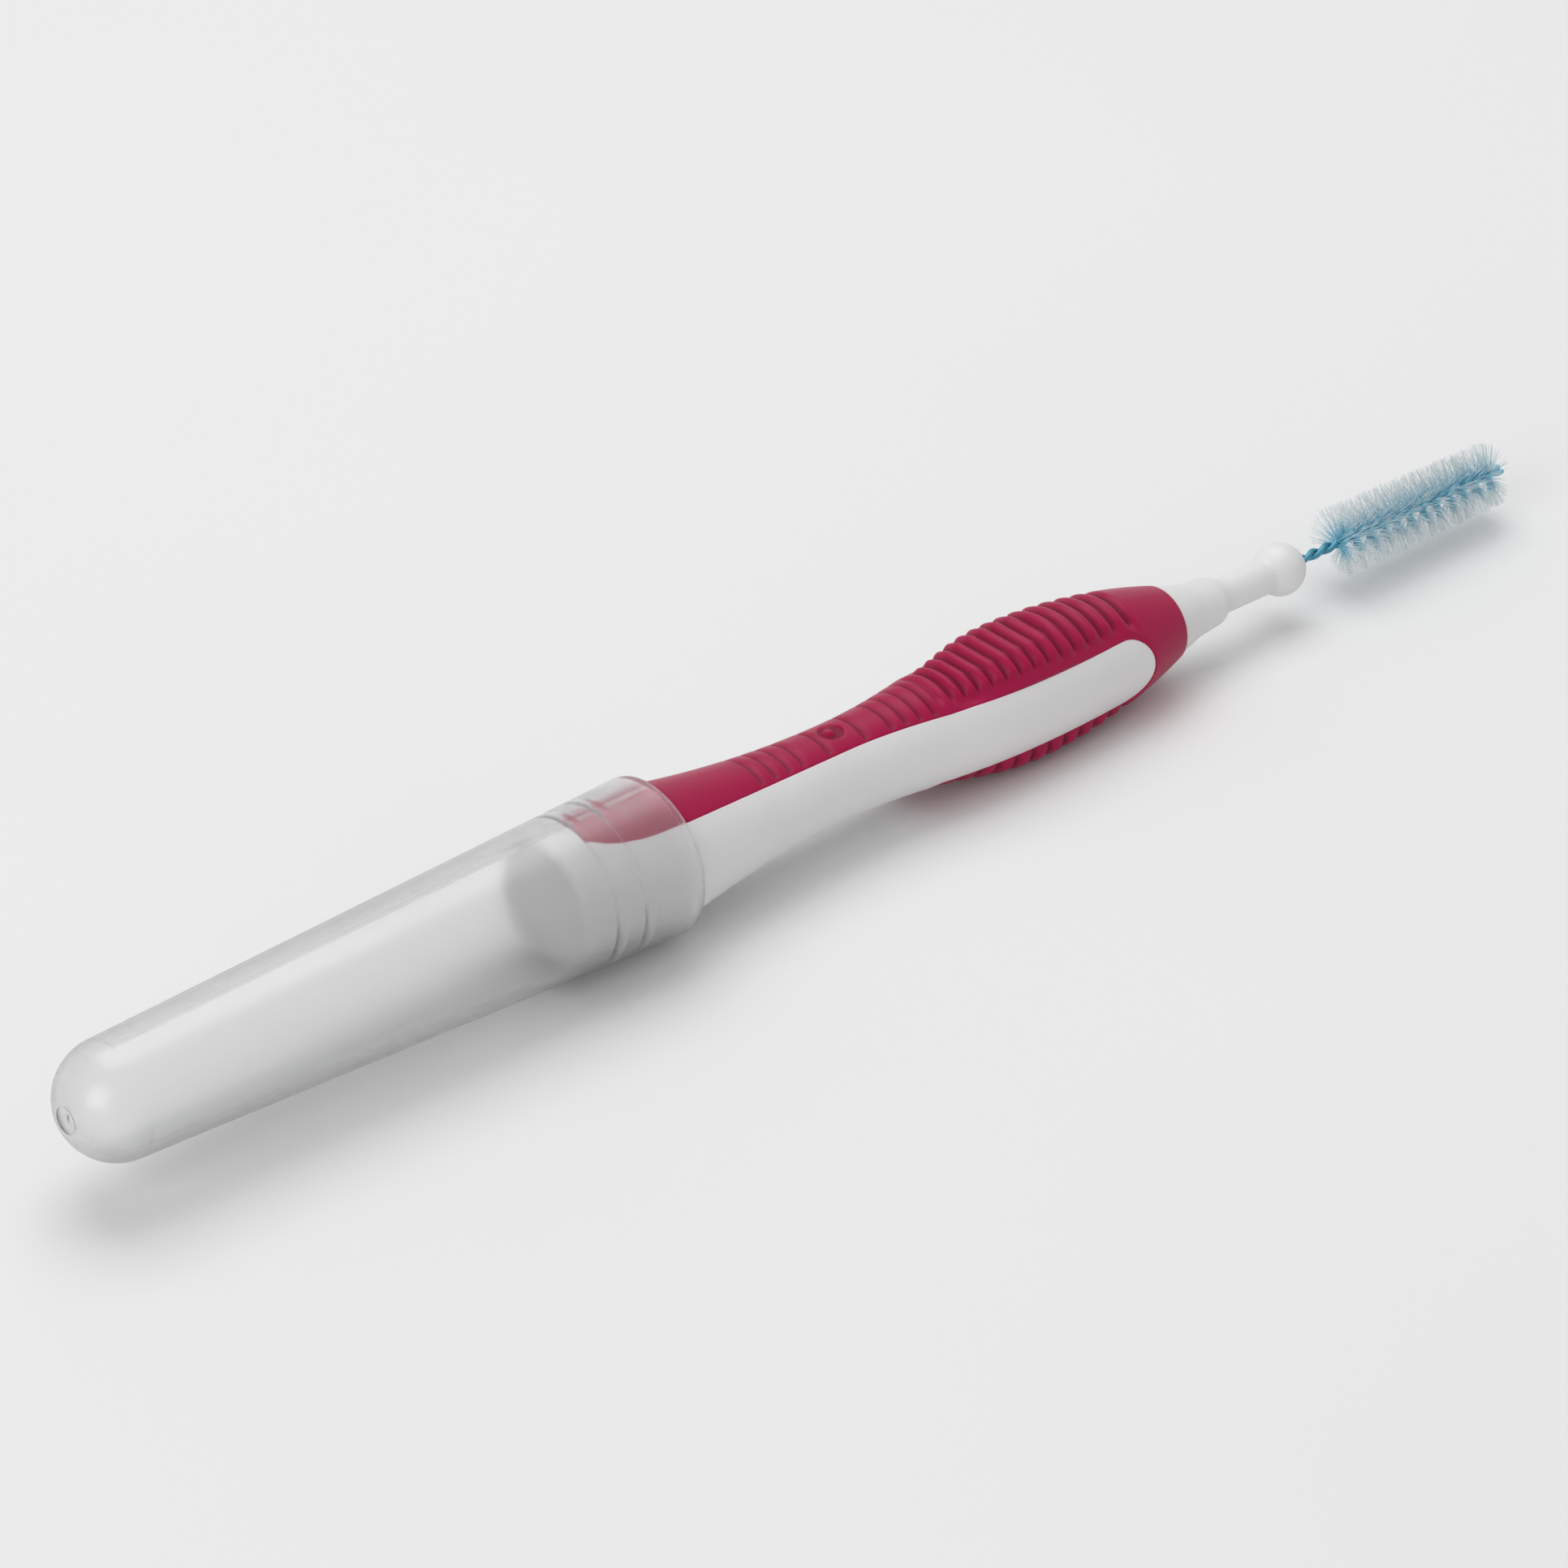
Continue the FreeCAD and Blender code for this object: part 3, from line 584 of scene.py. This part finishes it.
# %% Crimson plastic
def crimson_plastic():
    finish = Finish("crimson_rubber")
    # painted light: 0 in the valleys, grooves and dimple (painted shade), 1 on the backs (painted sheen)
    shade_and_sheen = finish.clamp(finish.attribute("crest"), -0.2, 1.0)
    cloud = finish.noise(2.5 * MM)
    grain = finish.noise(0.05 * MM, detail=3.0)
    # deep is the painted shade of the valleys and grooves; pale is the backs' colour with a painted sheen
    deep = finish.mix(cloud, colour(0.14, 0.001, 0.018), colour(0.165, 0.0015, 0.023))
    pale = finish.mix(cloud, colour(0.34, 0.003, 0.052), colour(0.38, 0.004, 0.060))
    return finish.shade({
        "Base Color": finish.mix(shade_and_sheen, deep, pale),
        "Roughness": 0.46 - shade_and_sheen * 0.16 + cloud * 0.08,
        "Normal": finish.bump(grain, 0.006 * MM),
        "IOR": 1.46,
        "Specular IOR Level": 0.20,
    })


grip_mesh = soft_grip_mesh()
close_and_smooth(grip_mesh)
grip = add_piece("soft_grip_skin", grip_mesh, crimson_plastic())
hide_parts("soft_grip")
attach(grip, "handle")

# %% [markdown]
# ## Twisted wire
# The wire is steel with a blue plastic coat, folded at the tip and twisted on itself so tightly that its
# two legs nearly touch. Each leg is a helix: rings of points about its own centre line, closed by a round
# end.

# %% Two legs of the wire
TWIST_PITCH = 2.2 * MM
LEG_R = 0.17 * MM
LEG_OFFSET = 0.175 * MM
LEG_STEP = 0.06 * MM
LEG_SIDES = 12
LEG_END_X = wire_high.x - 0.02 * MM
END_RINGS = 4


def leg_points(side):
    """Rings of one leg, in the order of their stations. The last rings shrink into a round end."""
    round_x = LEG_END_X - LEG_R
    stations = np.append(run(wire_low.x, round_x, LEG_STEP), round_x)
    turns = np.linspace(0, math.pi / 2, END_RINGS + 1)[1:-1]
    x = np.concatenate([stations, round_x + LEG_R * np.sin(turns)])
    size = np.concatenate([np.full(len(stations), LEG_R), LEG_R * np.cos(turns)])
    angle = (x - wire_high.x) / TWIST_PITCH * math.tau + side * math.pi / 2
    outward = np.stack([np.zeros_like(x), np.sin(angle), np.cos(angle)], axis=-1)
    around = np.stack([np.zeros_like(x), np.cos(angle), -np.sin(angle)], axis=-1)
    along = np.array([1.0, 0, 0]) + around * LEG_OFFSET * math.tau / TWIST_PITCH
    across = np.cross(along / np.linalg.norm(along, axis=-1, keepdims=True), outward)
    centre = np.stack([x, np.zeros_like(x), np.full_like(x, AXIS_Z)], axis=-1) + outward * LEG_OFFSET
    ring = np.arange(LEG_SIDES) / LEG_SIDES * math.tau
    rim = outward[:, None] * np.cos(ring)[:, None] + across[:, None] * np.sin(ring)[:, None]
    return centre[:, None] + rim * size[:, None, None]


def leg_faces(first, rings):
    """Quads round the leg and one face at each end."""
    numbers = first + np.arange(rings * LEG_SIDES).reshape(rings, LEG_SIDES)
    beside = np.roll(numbers, -1, axis=1)
    quads = np.stack([numbers[:-1], beside[:-1], beside[1:], numbers[1:]], axis=-1).reshape(-1, 4)
    return quads.tolist() + [numbers[0].tolist(), numbers[-1].tolist()]


def wire_mesh():
    points, faces = [], []
    for side in (1, -1):
        rings = leg_points(side)
        faces += leg_faces(len(points), len(rings))
        points += rings.reshape(-1, 3).tolist()
    mesh = bpy.data.meshes.new("twisted_wire")
    mesh.from_pydata(points, [], faces)
    return mesh


# %% [markdown]
# The coat is deep teal where the wire is bare. Among the filaments the coat is painted paler, as painted
# light: it stands in for the light that the roots covering it scatter over it.

# %% Coated wire
FIELD_START = brush_low.x + 0.75 * MM


def coated_wire():
    finish = Finish("coated_wire")
    streak = finish.noise(0.25 * MM, detail=4.0, stretch=2.0)
    grain = finish.noise(0.04 * MM)
    covered = finish.clamp(finish.along(), FIELD_START, FIELD_START + 1 * MM)
    bare = finish.mix(streak, colour(0.008, 0.13, 0.23), colour(0.05, 0.38, 0.54))
    # painted light: paler coat among the filaments, for the light their roots scatter over the wire
    painted_mist_light = finish.mix(streak, colour(0.12, 0.40, 0.53), colour(0.25, 0.57, 0.69))
    return finish.shade({
        "Base Color": finish.mix(covered, bare, painted_mist_light),
        "Roughness": 0.22 + streak * 0.2,
        "Metallic": 0.15 + streak * 0.15,
        "Normal": finish.bump(grain, 0.003 * MM),
        "Coat Weight": 0.5,
        "Coat Roughness": 0.15,
    })


legs = wire_mesh()
close_and_smooth(legs)
wire = add_piece("twisted_wire", legs, coated_wire())
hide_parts("brush_wire")
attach(wire, "handle")

# %% [markdown]
# ## Filaments
# More than a thousand nylon filaments are caught between the legs of the wire and stand out on both
# sides, so that they wind round it as it twists. This is a job for Geometry Nodes: a line of points along
# the wire, one straight curve for each point, turned by the twist, then bent a little by random amounts
# and given a thin three-sided section. The two ends of the brush fan out a little.

# %% Sizes of the filament field
filament_sizes = {
    "Count": 1500,
    "Start": FIELD_START,
    "End": brush_high.x - 0.25 * MM,
    "Axis Height": AXIS_Z,
    "Twist Zero": wire_high.x,
    "Twist Pitch": TWIST_PITCH,
    "Twist Spread": math.radians(38),
    "Root Reach": 2.23 * MM,
    "Tip Reach": 2.0 * MM,
    "End Fan": 0.01,
    "Lean": 0.05,
    "Bend": 0.16,
    "Filament Radius": 0.018 * MM,
}


class Field(Graph):
    """A Geometry Nodes tree with named inputs."""

    def __init__(self, name, sizes):
        super().__init__(bpy.data.node_groups.new(name, "GeometryNodeTree"))
        self.identifiers = {}
        for label, value in sizes.items():
            kind = "NodeSocketInt" if isinstance(value, int) else "NodeSocketFloat"
            item = self.tree.interface.new_socket(label, in_out="INPUT", socket_type=kind)
            self.identifiers[label] = item.identifier
        self.tree.interface.new_socket("Geometry", in_out="OUTPUT", socket_type="NodeSocketGeometry")
        inputs = self.tree.nodes.new("NodeGroupInput")
        self.size = {label: Signal(self, inputs.outputs[label]) for label in sizes}

    def random(self, low, high, seed, number=None):
        """Random value for each item, or for each number that is given."""
        sockets = {2: low, 3: high, "Seed": seed}
        if number is not None:
            sockets["ID"] = number
        return self.node("FunctionNodeRandomValue", {"data_type": "FLOAT"}, sockets, output=1)

    def position(self):
        place = self.node("GeometryNodeInputPosition")
        parts = self.tree.nodes.new("ShaderNodeSeparateXYZ")
        self.fill(parts, {0: place})
        return [Signal(self, parts.outputs[axis]) for axis in "XYZ"]

    def deliver(self, geometry):
        self.fill(self.tree.nodes.new("NodeGroupOutput"), {0: geometry})


# %% Turn and bend the filaments
def standing_filaments(field):
    """Straight curves on the points of the wire, turned by its twist."""
    size = field.size
    start = field.vector(size["Start"], 0.0, size["Axis Height"])
    end = field.vector(size["End"], 0.0, size["Axis Height"])
    line = field.node("GeometryNodeMeshLine", {"mode": "END_POINTS", "count_mode": "TOTAL"},
                      {"Count": size["Count"], "Start Location": start, "Offset": end})
    x, _, _ = field.position()
    spread = field.random(-1.0, 1.0, 3) * size["Twist Spread"]
    twist = (x - size["Twist Zero"]) / size["Twist Pitch"] * math.tau + spread
    share = (x - size["Start"]) / (size["End"] - size["Start"])
    tapered = size["Root Reach"] + (size["Tip Reach"] - size["Root Reach"]) * share
    reach = tapered * field.random(0.95, 1.0, 5)
    straight = field.node("GeometryNodeCurvePrimitiveLine",
                          sockets={"Start": (0, 0, -1), "End": (0, 0, 1)})
    filament = field.node("GeometryNodeResampleCurve", sockets={"Curve": straight, "Count": 7})
    turned = field.node("FunctionNodeEulerToRotation", sockets={0: field.vector(twist, 0.0, 0.0)})
    standing = field.node("GeometryNodeInstanceOnPoints", sockets={
        "Points": line,
        "Instance": filament,
        "Rotation": turned,
        "Scale": field.vector(reach, reach, reach),
    })
    return field.node("GeometryNodeRealizeInstances", sockets={0: standing})


def bent_filaments(field, curves):
    """Each half of a filament leans and bends by its own random amount, and the brush's ends fan out."""
    size = field.size
    x, y, z = field.position()
    height = z - size["Axis Height"]
    reach = field.math("SQRT", y * y + height * height)
    number = field.node("GeometryNodeCurveOfPoint", output="Curve Index")
    half = field.math("GREATER_THAN", field.node("GeometryNodeSplineParameter"), 0.5)
    end_number = number * 2 + half
    place = (x - size["Start"]) / (size["End"] - size["Start"]) * 2 - 1
    fan = place * place * place * size["End Fan"]
    lean = (field.random(-1.0, 1.0, 7, end_number) * size["Lean"] + fan) * reach
    bend = field.random(-1.0, 1.0, 11, end_number) * size["Bend"] * reach / size["Root Reach"]
    moved = field.vector(lean, height * bend * -1, y * bend)
    return field.node("GeometryNodeSetPosition", sockets={"Geometry": curves, "Offset": moved})


def filament_field(material):
    field = Field("filament_field", filament_sizes)
    curves = bent_filaments(field, standing_filaments(field))
    section = field.node("GeometryNodeCurvePrimitiveCircle",
                         sockets={"Resolution": 3, "Radius": field.size["Filament Radius"]})
    tubes = field.node("GeometryNodeCurveToMesh",
                       sockets={"Curve": curves, "Profile Curve": section, "Fill Caps": True})
    _, y, z = field.position()
    height = z - field.size["Axis Height"]
    reach = field.math("SQRT", y * y + height * height) / field.size["Root Reach"]
    marked = field.node("GeometryNodeStoreNamedAttribute", {"data_type": "FLOAT", "domain": "POINT"},
                        {"Geometry": tubes, "Name": "reach", "Value": reach})
    whole = field.node("GeometryNodeRealizeInstances", sockets={0: marked})
    field.deliver(field.node("GeometryNodeSetMaterial", sockets={"Geometry": whole, "Material": material}))
    return field


# %% [markdown]
# Nylon is clear, so a single filament is hardly seen and many of them look like a whitish mist. Near the
# wire the mist is painted the wire's blue: painted light, for the blue light that the coat throws into it.
# The tree stored how far each point stands from the wire, and the colour follows that.


# %% Nylon
def nylon():
    finish = Finish("filament")
    reach = finish.attribute("reach")
    out = finish.clamp(reach, 0.14, 0.78)
    cloud = finish.noise(0.6 * MM)
    pale = finish.mix(cloud, colour(0.82, 0.91, 0.94), colour(0.92, 0.96, 0.97))
    return finish.shade({
        # painted light: blue near the wire, for the coat's blue light in the filaments; pale mist further
        # out
        "Base Color": finish.mix(out, colour(0.24, 0.71, 0.91), pale),
        "Roughness": 0.30 + cloud * 0.15,
        "Alpha": 0.42 - out * 0.10 + cloud * 0.06,
        "IOR": 1.53,
    })


def baked(name, field, sizes):
    """Run a Geometry Nodes tree once and keep its result as a plain mesh."""
    carrier = bpy.data.objects.new(name, bpy.data.meshes.new(name))
    scene.collection.objects.link(carrier)
    modifier = carrier.modifiers.new("field", "NODES")
    modifier.node_group = field.tree
    for label, value in sizes.items():
        modifier[field.identifiers[label]] = value
    evaluated = carrier.evaluated_get(bpy.context.evaluated_depsgraph_get())
    result = bpy.data.meshes.new_from_object(evaluated)
    carrier.modifiers.clear()
    carrier.data = result
    print(f"{name}: {len(result.polygons)} faces")
    return carrier


filaments = baked("brush_filaments", filament_field(nylon()), filament_sizes)
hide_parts("bristles")
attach(filaments, "handle")

# %% [markdown]
# ## Clear cap
# The cap is a thin clear tube with a domed end. Clear plastic of this kind is never quite clear: a faint
# milky veil softens what lies behind it. A shader that mostly transmits, with a little of it left
# diffuse, gives that veil, and a slow noise in the roughness keeps the reflections from being perfect.


# %% Clear plastic
def clear_plastic():
    finish = Finish("clear_plastic")
    haze = finish.noise(3 * MM, stretch=3.0)
    ripple = finish.noise(1.2 * MM, stretch=4.0)
    lip = finish.clamp(finish.along(), cap_high.x - 0.35 * MM, cap_high.x - 0.1 * MM)
    return finish.shade({
        "Base Color": finish.mix(haze, colour(0.93, 0.935, 0.94), colour(0.97, 0.97, 0.975)),
        "Roughness": 0.18 + haze * 0.12 + lip * 0.4,
        "Normal": finish.bump(ripple, 0.004 * MM),
        "IOR": 1.45,
        "Specular IOR Level": 0.30,
        "Transmission Weight": 0.97,
    })


dress("travel_cap", clear_plastic())

# %% [markdown]
# ## Table, light and camera
# The brush lies on the rim of its cap and on the lower pad, so the table touches both. A large soft lamp
# overhead, a little behind the object, a weaker one at the cap's end and a pale surround give the even
# light of a small studio.


# %% Table
def contact_slope():
    """Slope of a table that touches the cap's rim and the lower pad."""
    points = np.array([point.co for point in grip.data.vertices])
    pad = points[points[:, 0] > PAD_X]
    return ((pad[:, 2] - cap_low.z) / (pad[:, 0] - cap_high.x)).min()


def table_finish():
    finish = Finish("table")
    cloud = finish.noise(60 * MM)
    return finish.shade({
        "Base Color": finish.mix(cloud, colour(0.80, 0.80, 0.80), colour(0.82, 0.82, 0.82)),
        "Roughness": 0.6,
    })


TABLE_HALF = 2.0
slope = contact_slope()
rear_z = cap_low.z - slope * (TABLE_HALF + cap_high.x)
front_z = cap_low.z + slope * (TABLE_HALF - cap_high.x)
corners = [(-TABLE_HALF, -TABLE_HALF, rear_z), (TABLE_HALF, -TABLE_HALF, front_z),
           (TABLE_HALF, TABLE_HALF, front_z), (-TABLE_HALF, TABLE_HALF, rear_z)]
table_mesh = bpy.data.meshes.new("table")
table_mesh.from_pydata(corners, [], [(0, 1, 2, 3)])
table = add_piece("table", table_mesh, table_finish())
print(f"table rises by {math.degrees(math.atan(slope)):.2f} degrees towards the brush")


# %% Lamps and surround
def soft_lamp(name, place, size, power):
    """Square lamp that points at the middle of the object."""
    lamp = bpy.data.lights.new(name, "AREA")
    lamp.shape = "SQUARE"
    lamp.size = size
    lamp.energy = power
    holder = bpy.data.objects.new(name, lamp)
    holder.location = place
    holder.rotation_euler = Vector(place).to_track_quat("Z", "Y").to_euler()
    scene.collection.objects.link(holder)


soft_lamp("overhead_lamp", place=(0.08, 0.18, 0.50), size=0.45, power=1.35)
soft_lamp("side_lamp", place=(-0.50, -0.12, 0.25), size=0.35, power=0.9)

world = bpy.data.worlds.new("studio")
world.use_nodes = True
scene.world = world
surround = Graph(world.node_tree)
rays = world.node_tree.nodes.new("ShaderNodeLightPath")
LIT, SHOWN = 0.52, 0.85
backdrop = next(node for node in world.node_tree.nodes if node.type == "BACKGROUND")
shown = Signal(surround, rays.outputs["Is Camera Ray"])
for kind in ("Glossy", "Transmission"):
    shown = surround.math("MAXIMUM", shown, Signal(surround, rays.outputs[f"Is {kind} Ray"]))
surround.fill(backdrop, {"Color": colour(1.0, 1.0, 1.0), "Strength": LIT + shown * (SHOWN - LIT)})

# %% Camera
PHOTO_SIDE_PIXELS = 1932
FOCAL_PIXELS = 10941.5
AZIMUTH = math.radians(-41.19)
ELEVATION = math.radians(31.22)
CAMERA_DISTANCE = 0.5
TARGET = Vector((-3.226 * MM, 0, AXIS_Z + 0.685 * MM))

back = Vector((math.sin(AZIMUTH) * math.cos(ELEVATION),
               -math.cos(AZIMUTH) * math.cos(ELEVATION),
               math.sin(ELEVATION)))
lens = bpy.data.cameras.new("camera")
lens.lens = lens.sensor_width * FOCAL_PIXELS / PHOTO_SIDE_PIXELS
lens.clip_start = 0.01
camera = bpy.data.objects.new("camera", lens)
camera.location = TARGET + back * CAMERA_DISTANCE
camera.rotation_euler = (-back).to_track_quat("-Z", "Y").to_euler()
scene.collection.objects.link(camera)
scene.camera = camera
print(f"camera with a {lens.lens:.0f} mm lens")
